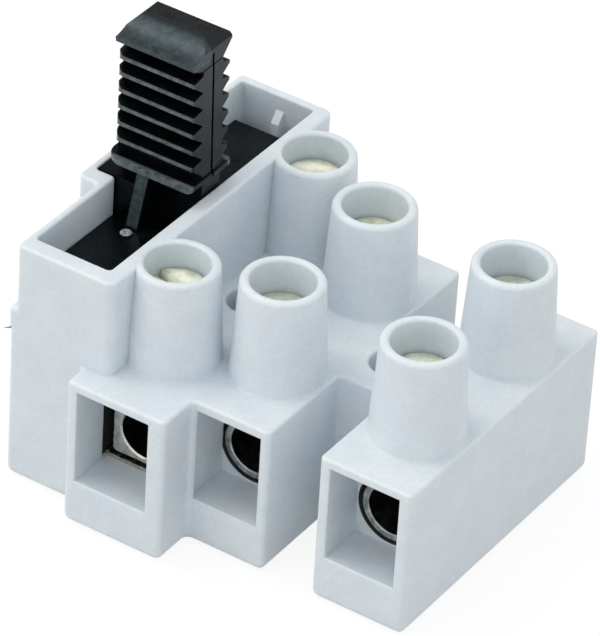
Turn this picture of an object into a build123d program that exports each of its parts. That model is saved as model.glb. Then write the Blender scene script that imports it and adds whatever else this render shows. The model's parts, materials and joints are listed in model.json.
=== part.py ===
from build123d import *
import os

os.makedirs("parts", exist_ok=True)

# Fuse terminal block: three screw poles moulded in one piece with a tall fuse box.
# X runs across the poles, Y along each pole from front to back, Z up.
# The origin is the middle of the underside. All sizes are in millimetres.

# Poles and deck
deck_height = 13.4
pole_a_half_length = 17.3
pole_bc_half_length = 13.45
pole_a_left = -10.2
pole_a_right = -1.15
pole_b_right = 5.85
pole_c_left = 10.37
pole_c_right = 18.65
web_half_width = 3.9
upright_edge_round = 0.45
bottom_edge_round = 0.8
deck_edge_round = 0.25

# Screw chimneys
chimney_a_x = -5.8
chimney_b_x = 1.8
chimney_c_x = 14.5
chimney_a_inset = 7.9
chimney_bc_inset = 7.1
chimney_top = 22.0
chimney_top_radius = 3.33
chimney_draft = 0.056
chimney_bore_radius = 2.6
chimney_rim_round = 0.4
chimney_mouth_round = 0.28
chimney_foot_round = 0.2

# Wire entries
entry_a_width = 6.6
entry_bc_width = 6.2
entry_a_x = -5.95
entry_b_x = 2.0
entry_c_x = 14.45
entry_floor = 4.2
entry_ceiling = 12.6
entry_bc_depth = 4.35
entry_edge_round = 0.15

# Mounting holes
mount_hole_radius = 1.75
mount_hole_web_x = 8.05
mount_hole_spacing = 13.3
mount_hole_round = 0.25

# Fuse box
box_top = 22.0
box_left = -16.7
box_right = -7.85
box_end_step = 2.2
box_ledge_height = 16.0
box_ledge_step = 0.55
box_ledge_round = 0.4
box_bead_height = 1.8
box_bead_proud = 0.15
box_right_round = 0.7
box_rim_round = 0.25
box_mouth_round = 0.2
box_mouth_depth = 1.0
wall_left = 0.6
wall_right = 1.35
wall_front = 1.6
wall_back = 0.8
chamber_corner_round = 0.35
corner_rib_left = -12.7
corner_rib_width = 0.7
corner_rib_depth = 0.75
corner_rib_top = 20.6
corner_rib_slope = 0.9

# Bay in the left wall that takes the carrier's lug
bay_left = -18.65
bay_half_width = 4.6
bay_end_wall = 1.6
bay_side_wall = 0.65
bay_corner_round = 0.7

# Lower fuse chamber
fuse_x = -13.15
fuse_z = 8.4
chamber_floor = 4.2
chamber_lower_top = 15.2
chamber_lower_half_width = 3.05

# Fuse, 5 x 20
fuse_length = 20.0
fuse_cap_radius = 2.6
fuse_cap_length = 5.0
fuse_cap_wall = 0.13
fuse_cap_end = 0.3
fuse_cap_round = 0.2
fuse_glass_gap = 0.02
fuse_glass_wall = 0.45
fuse_wire_radius = 0.12

# Fuse clips and their tails
clip_thickness = 0.3
clip_gap = 0.06
clip_width = 4.0
clip_end_inset = 2.4
clip_top = 12.4
clip_lip = 0.7
clip_lip_spread = 0.05
clip_end_tab_top = 6.6
tail_thickness = 0.35
tail_right = -3.2
tail_slot_gap = 0.1
tail_lip_reach = 0.05
tail_lip_half_width = 3.25

# Clamp blocks of the fused pole
block_setback = 4.35
block_size = 6.0
block_lift = 0.3
block_wall_below_bore = 0.6
block_bore_radius = 2.15
block_length = 6.6
block_edge_round = 0.5
block_face_chamfer = 0.18
block_bore_chamfer = 0.12
block_cavity_side_gap = 0.65
block_cavity_front_gap = 0.65
block_top_gap = 0.05

# Clamp tubes of the two through poles
tube_radius = 2.75
tube_bore_radius = 2.15
tube_z = 7.5
tube_cavity_gap = 0.35
tube_end_round = 0.12

# Clamp screws
screw_head_radius = 2.42
screw_head_height = 2.2
screw_head_depth_a = 2.15
screw_head_depth_bc = 2.8
screw_head_round = 0.3
screw_slot_width = 0.8
screw_slot_depth = 1.1
screw_shank_radius = 1.7
screw_length = 10.7
screw_tip_chamfer = 0.4
screw_thread_gap = 0.05
screw_passage_gap = 0.25

# Base cover under the fused pole
cover_left = -16.2
cover_right = -2.9
cover_end_inset = 4.2
cover_inset = 0.4
cover_thickness = 1.5
cover_gap = 0.08
cover_hole_gap = 0.5

# Fuse carrier
carrier_gap = 0.1
carrier_floor_top = 18.7
carrier_floor_thickness = 1.6
grip_foot_clearance = 1.3
grip_foot_thickness = 0.49
grip_foot_front = -3.28
grip_foot_back = 2.5
grip_foot_overhang = 0.12
grip_foot_round = 0.12
grip_half_width_bottom = 3.95
grip_half_width_top = 3.65
grip_core_half_depth = 1.41
grip_core_back_depth = 1.2
grip_rib_front = -2.77
grip_rib_back = 2.15
grip_rib_count = 6
grip_rib_pitch = 1.51
grip_rib_lift = 0.12
grip_rib_rise = 0.2
grip_rib_tip_radius = 0.2
grip_rib_back_drop = 0.9
grip_neck = 0.56
grip_left_round = 1.6
grip_right_round = 0.45
grip_groove_y = -0.1
grip_groove_width = 0.25
grip_groove_depth = 0.25
cap_front = -2.85
cap_front_rise = 1.05
cap_crease = -0.14
cap_crease_rise = 2.45
cap_back = 2.38
cap_back_rise = 1.7
cap_bulge = 0.3
cap_lip = 0.45
cap_lip_draw = 0.08
cap_half_length = 3.6
cap_hip_inset = 0.9
cap_hip_drop = 1.0
stem_half_depth = 1.2
gusset_x_shift = -0.5
gusset_width = 1.1
gusset_foot = 4.35
gusset_shoulder = 2.9
gate_mark_y = -4.95
gate_mark_radius = 0.55
gate_mark_height = 0.15
gate_mark_round = 0.1
claw_y = 3.1
claw_width = 2.2
claw_thickness = 0.35
claw_gap = 0.05
claw_mouth = 1.0
claw_mouth_narrowing = 0.2

# Sizes that follow from the ones above
pole_b_left = pole_a_right
box_half_length = pole_a_half_length - box_end_step
chamber_left = box_left + wall_left
chamber_right = box_right - wall_right
chamber_front = -box_half_length + wall_front
chamber_back = box_half_length - wall_back
box_lower_left = box_left - box_ledge_step
bay_slot_left = bay_left + bay_side_wall
bay_slot_half_width = bay_half_width - bay_end_wall
chimney_a_y = pole_a_half_length - chimney_a_inset
chimney_bc_y = pole_bc_half_length - chimney_bc_inset
chimney_foot_radius = chimney_top_radius + chimney_draft * (chimney_top - deck_height)
chimney_ring_radius = chimney_foot_radius + chimney_foot_round
mount_hole_a_x = mount_hole_web_x - mount_hole_spacing
clip_y = fuse_length / 2 - clip_end_inset
tail_top = chamber_floor + tail_thickness
block_bottom = tail_top + block_lift
block_top = block_bottom + block_size
block_bore_z = block_bottom + block_wall_below_bore + block_bore_radius
block_front = pole_a_half_length - block_setback
block_back = block_front - block_length
tube_half_length = pole_bc_half_length - entry_bc_depth
pole_end_step = abs(pole_a_half_length - pole_bc_half_length)
pole_bottom_round = min(bottom_edge_round, pole_end_step / 2)
pole_upright_round = min(upright_edge_round, pole_end_step / 3)
cover_half_length = pole_a_half_length - cover_end_inset
cover_top = cover_inset + cover_thickness
window_front = block_front - cover_gap
window_back = clip_y - clip_width / 2 - 2 * cover_gap
carrier_floor_bottom = carrier_floor_top - carrier_floor_thickness
carrier_floor_back = chamber_back - corner_rib_depth - carrier_gap
grip_x = fuse_x
grip_bottom = box_top + grip_foot_clearance
grip_foot_top = grip_bottom + grip_foot_thickness
grip_rib_base = grip_foot_top + grip_rib_lift
grip_top = grip_rib_base + grip_rib_count * grip_rib_pitch + grip_neck
clip_inner = fuse_cap_radius + clip_gap
clip_outer = clip_inner + clip_thickness
claw_inner = fuse_cap_radius - fuse_cap_wall - fuse_glass_gap + claw_gap


def span_rectangle(x_span, y_span):
    """A rectangle between two limits along each axis, added to the open sketch."""
    with Locations(((x_span[0] + x_span[1]) / 2, (y_span[0] + y_span[1]) / 2)):
        Rectangle(x_span[1] - x_span[0], y_span[1] - y_span[0])


def span_box(x_span, y_span, z_span, mode=Mode.ADD):
    """A block between two limits along each axis, added to the open part or cut from it."""
    with BuildSketch(Plane.XY.offset(z_span[0])) as outline:
        span_rectangle(x_span, y_span)
    extrude(outline.sketch, amount=z_span[1] - z_span[0], mode=mode)


def box_plan(left, z):
    """Plan of the fuse box and its bay at height z, with rounded corners."""
    with BuildSketch(Plane.XY.offset(z)) as plan:
        span_rectangle((left, box_right), (-box_half_length, box_half_length))
        span_rectangle((bay_left, left), (-bay_half_width, bay_half_width))
        bay_corners = plan.vertices().group_by(Axis.X)[0]
        right_corners = plan.vertices().group_by(Axis.X)[-1]
        fillet(plan.vertices() - bay_corners - right_corners, radius=upright_edge_round)
        fillet(plan.vertices().group_by(Axis.X)[-1], radius=box_right_round)
        fillet(plan.vertices().group_by(Axis.X)[0], radius=bay_corner_round)
    return plan.sketch


def chamber_plan(z):
    """Plan of the upper fuse chamber and the slot of the bay at height z."""
    with BuildSketch(Plane.XY.offset(z)) as plan:
        span_rectangle((chamber_left, chamber_right), (chamber_front, chamber_back))
        span_rectangle((bay_slot_left, chamber_left), (-bay_slot_half_width, bay_slot_half_width))
        fillet(plan.vertices(), radius=chamber_corner_round)
    return plan.sketch


def upright_plane(place):
    """A plane through one chimney, its own X across the block and its own Y upwards."""
    return Plane(origin=(*place, 0), x_dir=(1, 0, 0), z_dir=(0, -1, 0))


chimney_places = {
    "a_front": (chimney_a_x, -chimney_a_y),
    "a_back": (chimney_a_x, chimney_a_y),
    "b_front": (chimney_b_x, -chimney_bc_y),
    "b_back": (chimney_b_x, chimney_bc_y),
    "c_front": (chimney_c_x, -chimney_bc_y),
    "c_back": (chimney_c_x, chimney_bc_y),
}

# Angle of each screw's slot from the X axis, in degrees
screw_slot_angles = {
    "a_front": -13,
    "a_back": 20,
    "b_front": 35,
    "b_back": 10,
    "c_front": 30,
    "c_back": 25,
}

# Poles and their web: the low part of the housing, softened all round
with BuildPart() as poles:
    with BuildSketch(Plane.XY):
        span_rectangle((pole_a_left, pole_a_right), (-pole_a_half_length, pole_a_half_length))
        span_rectangle((pole_b_left, pole_b_right), (-pole_bc_half_length, pole_bc_half_length))
        span_rectangle((pole_c_left, pole_c_right), (-pole_bc_half_length, pole_bc_half_length))
        span_rectangle((pole_b_right, pole_c_left), (-web_half_width, web_half_width))
        span_rectangle((box_lower_left, pole_a_left), (-box_half_length, box_half_length))
        span_rectangle((bay_left, box_lower_left), (-bay_half_width, bay_half_width))
    extrude(amount=deck_height)
    fillet(poles.edges().filter_by(Axis.Z), radius=pole_upright_round)
    fillet(poles.faces().sort_by(Axis.Z)[0].outer_wire().edges(), radius=pole_bottom_round)
    fillet(poles.faces().sort_by(Axis.Z)[-1].outer_wire().edges(), radius=deck_edge_round)

# Lower fuse box up to its ledge, with the bead of the parting line below the ledge
with BuildPart() as lower_box:
    extrude(box_plan(box_lower_left, bottom_edge_round), amount=box_ledge_height - bottom_edge_round)
    extrude(box_plan(box_lower_left - box_bead_proud, box_ledge_height - box_bead_height),
            amount=box_bead_height)
    fillet(lower_box.faces().sort_by(Axis.Z)[-1].outer_wire().edges(), radius=box_ledge_round)

# Upper fuse box with a softened rim, and the mouth of its chamber
with BuildPart() as upper_box:
    extrude(box_plan(box_left, deck_height), amount=box_top - deck_height)
    fillet(upper_box.faces().sort_by(Axis.Z)[-1].outer_wire().edges(), radius=box_rim_round)
    extrude(chamber_plan(box_top), amount=-box_mouth_depth, mode=Mode.SUBTRACT)
    fillet(upper_box.faces().sort_by(Axis.Z)[-1].inner_wires()[0].edges(), radius=box_mouth_round)

# Housing: poles, fuse box and six chimneys in one moulding
with BuildPart() as housing:
    add(poles.part)
    add(lower_box.part)
    add(upper_box.part)

    # Tapered chimneys with a rounded rim and a small fillet where they stand on the deck
    for place in chimney_places.values():
        with BuildSketch(upright_plane(place)) as chimney:
            with BuildLine():
                Polyline(
                    (0, deck_height - deck_edge_round),
                    (chimney_ring_radius, deck_height - deck_edge_round),
                    (chimney_ring_radius, deck_height),
                    (chimney_foot_radius, deck_height),
                    (chimney_top_radius, chimney_top),
                    (0, chimney_top),
                    close=True,
                )
            make_face()
            foot = chimney.vertices().sort_by_distance((chimney_foot_radius, deck_height))[0]
            fillet(foot, radius=chimney_foot_round)
            rim = chimney.vertices().sort_by_distance((chimney_top_radius, chimney_top))[0]
            fillet(rim, radius=chimney_rim_round)
        revolve(axis=Axis((*place, 0), (0, 0, 1)))

    # Upper and lower fuse chamber, and the rib at its back
    extrude(chamber_plan(chamber_lower_top), amount=box_top - box_mouth_depth - chamber_lower_top,
            mode=Mode.SUBTRACT)
    span_box((fuse_x - chamber_lower_half_width, fuse_x + chamber_lower_half_width),
             (chamber_front, chamber_back), (chamber_floor, chamber_lower_top), Mode.SUBTRACT)
    with BuildSketch(Plane.YZ.offset(corner_rib_left)):
        with BuildLine():
            Polyline(
                (chamber_back, chamber_lower_top),
                (chamber_back - corner_rib_depth, chamber_lower_top),
                (chamber_back - corner_rib_depth, corner_rib_top - corner_rib_slope),
                (chamber_back, corner_rib_top),
                close=True,
            )
        make_face()
    extrude(amount=corner_rib_width)

    # Chimney bores with a rounded mouth, and the narrower screw passages below them
    for place in chimney_places.values():
        with BuildSketch(upright_plane(place)) as bore:
            with BuildLine():
                Polyline(
                    (0, deck_height),
                    (chimney_bore_radius, deck_height),
                    (chimney_bore_radius, chimney_top),
                    (chimney_top_radius, chimney_top),
                    (chimney_top_radius, chimney_top + chimney_mouth_round),
                    (0, chimney_top + chimney_mouth_round),
                    close=True,
                )
            make_face()
            mouth = bore.vertices().sort_by_distance((chimney_bore_radius, chimney_top))[0]
            fillet(mouth, radius=chimney_mouth_round)
        revolve(axis=Axis((*place, 0), (0, 0, 1)), mode=Mode.SUBTRACT)
        with BuildSketch(Plane.XY.offset(deck_height)):
            with Locations(place):
                Circle(screw_shank_radius + screw_passage_gap)
        extrude(amount=tube_z - deck_height, mode=Mode.SUBTRACT)

    # Wire entries at both ends of each pole, their edges softened
    for side in (-1, 1):
        end_a = side * pole_a_half_length
        span_box((entry_a_x - entry_a_width / 2, entry_a_x + entry_a_width / 2),
                 sorted((end_a, side * block_front)), (entry_floor, entry_ceiling), Mode.SUBTRACT)
        end_bc = side * pole_bc_half_length
        for entry_x in (entry_b_x, entry_c_x):
            span_box((entry_x - entry_bc_width / 2, entry_x + entry_bc_width / 2),
                     sorted((end_bc, side * tube_half_length)), (entry_floor, entry_ceiling), Mode.SUBTRACT)
        for end_face in housing.faces().filter_by(Axis.Y):
            if end_face.inner_wires() and abs(end_face.center().Y) > tube_half_length:
                if end_face.center().Y * side > 0:
                    fillet(end_face.inner_wires()[0].edges(), radius=entry_edge_round)

    # Cavities for the metal behind the entries
    for side in (-1, 1):
        span_box((chimney_a_x - block_size / 2 - block_cavity_side_gap,
                  chimney_a_x + block_size / 2 + block_cavity_side_gap),
                 sorted((side * (block_front + block_cavity_front_gap), side * block_back)),
                 (chamber_floor, block_top + block_top_gap), Mode.SUBTRACT)
    with BuildSketch(Plane.XZ.offset(-tube_half_length)):
        with Locations((chimney_b_x, tube_z), (chimney_c_x, tube_z)):
            Circle(tube_radius + tube_cavity_gap)
    extrude(amount=2 * tube_half_length, mode=Mode.SUBTRACT)

    # Underside pocket for the base cover and the windows that the clips go in through
    span_box((cover_left, cover_right), (-cover_half_length, cover_half_length),
             (0, cover_top), Mode.SUBTRACT)
    for side in (-1, 1):
        span_box((cover_left, tail_right + tail_slot_gap),
                 sorted((side * window_front, side * window_back)),
                 (cover_top, tail_top + tail_slot_gap), Mode.SUBTRACT)

    # Two mounting holes, one through the fused pole and one through the web
    with BuildSketch(Plane.XY):
        with Locations((mount_hole_a_x, 0), (mount_hole_web_x, 0)):
            Circle(mount_hole_radius)
    extrude(amount=deck_height, mode=Mode.SUBTRACT)
    deck_circles = housing.edges().filter_by(GeomType.CIRCLE).filter_by_position(
        Axis.Z, deck_height - mount_hole_round, deck_height + mount_hole_round)
    fillet(deck_circles.filter_by(lambda edge: abs(edge.arc_center.Y) < mount_hole_radius
                                  and abs(edge.radius - mount_hole_radius) < mount_hole_round / 2),
           radius=mount_hole_round)
housing.part.label = "housing"
export_step(housing.part, "parts/housing.step")

# Base cover: flush plate that closes the underside and presses the clips up
with BuildPart() as base_cover:
    span_box((cover_left + cover_gap, cover_right - cover_gap),
             (-cover_half_length + cover_gap, cover_half_length - cover_gap), (cover_inset, cover_top))
    for side in (-1, 1):
        span_box((cover_left + cover_gap, tail_right - cover_gap),
                 sorted((side * (window_front - cover_gap), side * (window_back + cover_gap))),
                 (cover_top, chamber_floor))
    with Locations((mount_hole_a_x, 0, cover_top)):
        Hole(mount_hole_radius + cover_hole_gap)
base_cover.part.label = "base_cover"
export_step(base_cover.part, "parts/base_cover.step")


def clip_part(side):
    """Spring clip with two cheeks, an end tab and the tail that runs under the clamp block."""
    with BuildPart() as clip:
        inner_end = side * (clip_y - clip_width / 2)
        cap_end = side * (fuse_length / 2 + claw_gap + clip_thickness)
        span_box((fuse_x - clip_outer, fuse_x + clip_outer), sorted((inner_end, cap_end)),
                 (chamber_floor, tail_top))
        span_box((fuse_x, tail_right), sorted((side * (block_front - 2 * cover_gap), side * block_back)),
                 (chamber_floor, tail_top))
        span_box((chimney_a_x - tail_lip_half_width, chimney_a_x + tail_lip_half_width),
                 sorted((side * (block_front + tail_lip_reach), side * (block_front - 2 * cover_gap))),
                 (chamber_floor, tail_top))
        with BuildSketch(Plane.XZ.offset(-side * clip_y)):
            for hand in (-1, 1):
                with BuildLine():
                    Polyline(
                        (fuse_x + hand * clip_inner, chamber_floor),
                        (fuse_x + hand * clip_inner, clip_top - clip_lip),
                        (fuse_x + hand * (clip_inner + clip_lip_spread), clip_top),
                        (fuse_x + hand * (clip_outer + clip_lip_spread), clip_top),
                        (fuse_x + hand * clip_outer, clip_top - clip_lip),
                        (fuse_x + hand * clip_outer, chamber_floor),
                        close=True,
                    )
                make_face()
        extrude(amount=clip_width / 2, both=True)
        span_box((fuse_x - clip_inner / 2, fuse_x + clip_inner / 2),
                 sorted((cap_end - side * clip_thickness, cap_end)), (chamber_floor, clip_end_tab_top))
    return clip.part


def clamp_block_part(side):
    """Rectangular clamp block with a wire bore along Y and a screw hole in its top."""
    with BuildPart() as block:
        with BuildSketch(Plane.XZ.offset(-side * block_front)):
            with Locations((chimney_a_x, block_bottom + block_size / 2)):
                RectangleRounded(block_size, block_size, block_edge_round)
            with Locations((chimney_a_x, block_bore_z)):
                Circle(block_bore_radius, mode=Mode.SUBTRACT)
        extrude(amount=side * block_length)
        for end_face in block.faces().filter_by(Axis.Y):
            chamfer(end_face.outer_wire().edges(), length=block_face_chamfer)
        chamfer(block.edges().filter_by(lambda edge: edge.geom_type == GeomType.CIRCLE
                                        and edge.radius > block_edge_round), length=block_bore_chamfer)
        with BuildSketch(Plane.XY.offset(block_top)):
            with Locations((chimney_a_x, side * chimney_a_y)):
                Circle(screw_shank_radius + screw_thread_gap)
        extrude(amount=block_bore_z - block_top, mode=Mode.SUBTRACT)
    return block.part


def clamp_tube_part(centre_x):
    """Round clamp tube that runs through a pole, with a screw hole near each end."""
    with BuildPart() as tube:
        with BuildSketch(Plane.XZ.offset(-tube_half_length)):
            with Locations((centre_x, tube_z)):
                Circle(tube_radius)
                Circle(tube_bore_radius, mode=Mode.SUBTRACT)
        extrude(amount=2 * tube_half_length)
        fillet(tube.edges().filter_by(GeomType.CIRCLE), radius=tube_end_round)
        with BuildSketch(Plane.XY.offset(tube_z)):
            with Locations((centre_x, -chimney_bc_y), (centre_x, chimney_bc_y)):
                Circle(screw_shank_radius + screw_thread_gap)
        extrude(amount=tube_radius + tube_end_round, mode=Mode.SUBTRACT)
    return tube.part


def clamp_screw_part(place, head_top, slot_angle):
    """Slotted cheese-head screw, head down in its chimney and its slot turned by an angle."""
    head_bottom = head_top - screw_head_height
    with BuildPart() as screw:
        with BuildSketch(Plane.XY.offset(head_bottom)):
            with Locations(place):
                Circle(screw_head_radius)
        extrude(amount=screw_head_height)
        fillet(screw.edges().group_by(Axis.Z)[-1], radius=screw_head_round)
        with BuildSketch(Plane.XY.offset(head_bottom)):
            with Locations(place):
                Circle(screw_shank_radius)
        extrude(amount=screw_head_height - screw_length)
        chamfer(screw.edges().group_by(Axis.Z)[0], length=screw_tip_chamfer)
        with BuildSketch(Plane.XY.offset(head_top)):
            with Locations(place):
                Rectangle(2 * screw_head_radius, screw_slot_width, rotation=slot_angle)
        extrude(amount=-screw_slot_depth, mode=Mode.SUBTRACT)
    return screw.part


ends = {"front": -1, "back": 1}
for end, side in ends.items():
    clip = clip_part(side)
    clip.label = f"fuse_clip_{end}"
    export_step(clip, f"parts/fuse_clip_{end}.step")
    block = clamp_block_part(side)
    block.label = f"clamp_block_a_{end}"
    export_step(block, f"parts/clamp_block_a_{end}.step")

for pole, centre_x in {"b": chimney_b_x, "c": chimney_c_x}.items():
    tube = clamp_tube_part(centre_x)
    tube.label = f"clamp_tube_{pole}"
    export_step(tube, f"parts/clamp_tube_{pole}.step")

for screw_name, place in chimney_places.items():
    head_depth = screw_head_depth_a if screw_name.startswith("a") else screw_head_depth_bc
    screw = clamp_screw_part(place, chimney_top - head_depth, screw_slot_angles[screw_name])
    screw.label = f"clamp_screw_{screw_name}"
    export_step(screw, f"parts/clamp_screw_{screw_name}.step")

# Fuse: glass tube, two end caps and the wire
fuse_glass_radius = fuse_cap_radius - fuse_cap_wall - fuse_glass_gap
fuse_inner_half = fuse_length / 2 - fuse_cap_end - fuse_glass_gap

with BuildPart() as fuse_glass:
    with BuildSketch(Plane.XZ):
        with Locations((fuse_x, fuse_z)):
            Circle(fuse_glass_radius)
            Circle(fuse_glass_radius - fuse_glass_wall, mode=Mode.SUBTRACT)
    extrude(amount=fuse_inner_half, both=True)
fuse_glass.part.label = "fuse_glass"
export_step(fuse_glass.part, "parts/fuse_glass.step")

with BuildPart() as fuse_wire:
    with BuildSketch(Plane.XZ):
        with Locations((fuse_x, fuse_z)):
            Circle(fuse_wire_radius)
    extrude(amount=fuse_length / 2 - fuse_cap_end, both=True)
fuse_wire.part.label = "fuse_wire"
export_step(fuse_wire.part, "parts/fuse_wire.step")


def fuse_cap_part(side):
    """Pressed end cap, closed at its outer end."""
    with BuildPart() as fuse_cap:
        with BuildSketch(Plane.XZ.offset(-side * fuse_length / 2)):
            with Locations((fuse_x, fuse_z)):
                Circle(fuse_cap_radius)
        extrude(amount=side * fuse_cap_length)
        fillet(fuse_cap.edges().group_by(Axis.Y)[-1 if side > 0 else 0], radius=fuse_cap_round)
        with BuildSketch(Plane.XZ.offset(-side * (fuse_length / 2 - fuse_cap_end))):
            with Locations((fuse_x, fuse_z)):
                Circle(fuse_cap_radius - fuse_cap_wall)
        extrude(amount=side * (fuse_cap_length - fuse_cap_end), mode=Mode.SUBTRACT)
    return fuse_cap.part


for end, side in ends.items():
    fuse_cap = fuse_cap_part(side)
    fuse_cap.label = f"fuse_cap_{end}"
    export_step(fuse_cap, f"parts/fuse_cap_{end}.step")


def front_rib(rib_z):
    """Barbed rib on the front of the grip, its round tip at height rib_z, added to the open sketch."""
    root_top = rib_z + grip_rib_rise
    root_bottom = root_top - grip_rib_pitch
    tip_centre = grip_rib_front + grip_rib_tip_radius
    tip_bottom = rib_z - 2 * grip_rib_tip_radius
    with BuildLine() as rib:
        Line((0, root_top), (-grip_core_half_depth, root_top))
        Line((-grip_core_half_depth, root_top), (tip_centre, rib_z))
        ThreePointArc((tip_centre, rib_z), (grip_rib_front, rib_z - grip_rib_tip_radius),
                      (tip_centre, tip_bottom))
        Line((tip_centre, tip_bottom), (-grip_core_half_depth, root_bottom))
        Line((-grip_core_half_depth, root_bottom), (0, root_bottom))
        Line((0, root_bottom), (0, root_top))
    make_face(rib.edges())


def back_rib(rib_z):
    """Shallower rib on the back of the grip, added to the open sketch."""
    tip_centre = grip_rib_back - grip_rib_rise
    with BuildLine() as rib:
        Line((0, rib_z + grip_rib_rise), (grip_core_back_depth, rib_z + grip_rib_rise))
        Line((grip_core_back_depth, rib_z + grip_rib_rise), (tip_centre, rib_z))
        ThreePointArc((tip_centre, rib_z), (grip_rib_back, rib_z - grip_rib_rise),
                      (tip_centre, rib_z - 2 * grip_rib_rise))
        Line((tip_centre, rib_z - 2 * grip_rib_rise), (grip_core_back_depth, rib_z - grip_rib_back_drop))
        Line((grip_core_back_depth, rib_z - grip_rib_back_drop), (0, rib_z - grip_rib_back_drop))
        Line((0, rib_z - grip_rib_back_drop), (0, rib_z + grip_rib_rise))
    make_face(rib.edges())


# Fuse carrier: floor plate, stem with a gusset, ribbed grip with a hipped cap, two claws
with BuildPart() as fuse_carrier:
    # Ribs and core of the grip, drawn from the side and extruded across
    with BuildSketch(Plane.YZ.offset(grip_x)):
        span_rectangle((-grip_core_half_depth, grip_core_back_depth), (grip_bottom, grip_top))
        for index in range(1, grip_rib_count + 1):
            front_rib(grip_rib_base + index * grip_rib_pitch)
            back_rib(grip_rib_base + index * grip_rib_pitch)
    extrude(amount=grip_half_width_bottom, both=True)
    # Seen from above, the ribs run out in a round corner at the left and a tight one at the right
    with BuildSketch(Plane.XY.offset(grip_bottom)) as grip_plan:
        span_rectangle((grip_x - grip_half_width_bottom, grip_x + grip_half_width_bottom),
                       (grip_rib_front, grip_rib_back))
        fillet(grip_plan.vertices().group_by(Axis.X)[-1], radius=grip_right_round)
        fillet(grip_plan.vertices().group_by(Axis.X)[0], radius=grip_left_round)
    extrude(amount=grip_top - grip_bottom, mode=Mode.INTERSECT)
    # Cap: curved front, crease and sloping back
    with BuildSketch(Plane.YZ.offset(grip_x)):
        front_tip = (cap_front, grip_top + cap_front_rise)
        crease = (cap_crease, grip_top + cap_crease_rise)
        with BuildLine():
            SagittaArc(front_tip, crease, -cap_bulge)
            Polyline(
                crease,
                (cap_back, grip_top + cap_back_rise),
                (cap_back, grip_top + cap_back_rise - cap_lip),
                (grip_core_back_depth, grip_top),
                (-grip_core_half_depth, grip_top),
                (cap_front + cap_lip_draw, grip_top + cap_front_rise - cap_lip),
                front_tip,
            )
        make_face()
    extrude(amount=cap_half_length, both=True)
    # The grip narrows a little towards its top, and the cap ends in hips
    with BuildSketch(Plane.XZ):
        with BuildLine():
            Polyline(
                (grip_x - grip_half_width_bottom, grip_bottom),
                (grip_x - grip_half_width_top, grip_top),
                (grip_x - cap_half_length, grip_top + cap_crease_rise - cap_hip_drop),
                (grip_x - cap_half_length + cap_hip_inset, grip_top + cap_crease_rise),
                (grip_x + cap_half_length - cap_hip_inset, grip_top + cap_crease_rise),
                (grip_x + cap_half_length, grip_top + cap_crease_rise - cap_hip_drop),
                (grip_x + grip_half_width_top, grip_top),
                (grip_x + grip_half_width_bottom, grip_bottom),
                close=True,
            )
        make_face()
    extrude(amount=-2 * cap_front, both=True, mode=Mode.INTERSECT)
    # Foot plate of the grip
    with BuildSketch(Plane.XY.offset(grip_bottom)) as foot_plan:
        span_rectangle((grip_x - grip_half_width_bottom - grip_foot_overhang,
                        grip_x + grip_half_width_bottom + grip_foot_overhang),
                       (grip_foot_front, grip_foot_back))
        fillet(foot_plan.vertices().group_by(Axis.X)[-1], radius=grip_right_round)
        fillet(foot_plan.vertices().group_by(Axis.X)[0], radius=grip_left_round)
    extrude(amount=grip_foot_thickness)
    fillet(fuse_carrier.faces().sort_by(Axis.Z)[0].outer_wire().edges(), radius=grip_foot_round)
    # Thin moulding groove down each side of the grip
    for side in (-1, 1):
        span_box(sorted((grip_x + side * (grip_half_width_top - grip_groove_depth),
                         grip_x + side * (grip_half_width_bottom + grip_groove_depth))),
                 (grip_groove_y - grip_groove_width / 2, grip_groove_y + grip_groove_width / 2),
                 (grip_bottom, grip_top + cap_front_rise), Mode.SUBTRACT)
    # Stem between the grip and the floor plate, its lug in the bay, and the gusset
    span_box((grip_x - grip_half_width_top, chamber_right - carrier_gap),
             (-stem_half_depth, stem_half_depth), (carrier_floor_bottom, grip_bottom))
    span_box((bay_slot_left + carrier_gap, grip_x),
             (-bay_slot_half_width + carrier_gap, bay_slot_half_width - carrier_gap),
             (carrier_floor_bottom, box_top))
    with BuildSketch(Plane.YZ.offset(grip_x + gusset_x_shift)):
        with BuildLine():
            Polyline(
                (-gusset_foot, carrier_floor_top),
                (-gusset_shoulder, grip_bottom),
                (gusset_shoulder, grip_bottom),
                (gusset_foot, carrier_floor_top),
                close=True,
            )
        make_face()
    extrude(amount=gusset_width / 2, both=True)
    # Floor plate that closes the chamber, with the low round mark of the moulding gate
    span_box((chamber_left + carrier_gap, chamber_right - carrier_gap),
             (chamber_front + carrier_gap, carrier_floor_back), (carrier_floor_bottom, carrier_floor_top))
    with BuildSketch(Plane.XY.offset(carrier_floor_top)):
        with Locations((grip_x + gusset_x_shift, gate_mark_y)):
            Circle(gate_mark_radius)
    extrude(amount=gate_mark_height)
    gate_edges = fuse_carrier.edges().filter_by(GeomType.CIRCLE).filter_by_position(
        Axis.Z, carrier_floor_top + gate_mark_round, carrier_floor_top + 2 * gate_mark_height)
    fillet(gate_edges.filter_by(lambda edge: abs(edge.radius - gate_mark_radius) < gate_mark_round),
           radius=gate_mark_round)
    # Claws that hold the glass of the fuse
    for side in (-1, 1):
        span_box((fuse_x - claw_inner - claw_thickness, fuse_x + claw_inner + claw_thickness),
                 sorted((side * (claw_y - claw_width / 2), side * (claw_y + claw_width / 2))),
                 (fuse_z - claw_mouth, carrier_floor_bottom))
        with BuildSketch(Plane.XZ.offset(-side * claw_y)):
            with Locations((fuse_x, fuse_z)):
                Circle(claw_inner)
            with Locations((fuse_x, fuse_z - claw_mouth)):
                Rectangle(2 * (claw_inner - claw_mouth_narrowing), 2 * claw_mouth)
        extrude(amount=claw_width, both=True, mode=Mode.SUBTRACT)
fuse_carrier.part.label = "fuse_carrier"
export_step(fuse_carrier.part, "parts/fuse_carrier.step")
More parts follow.
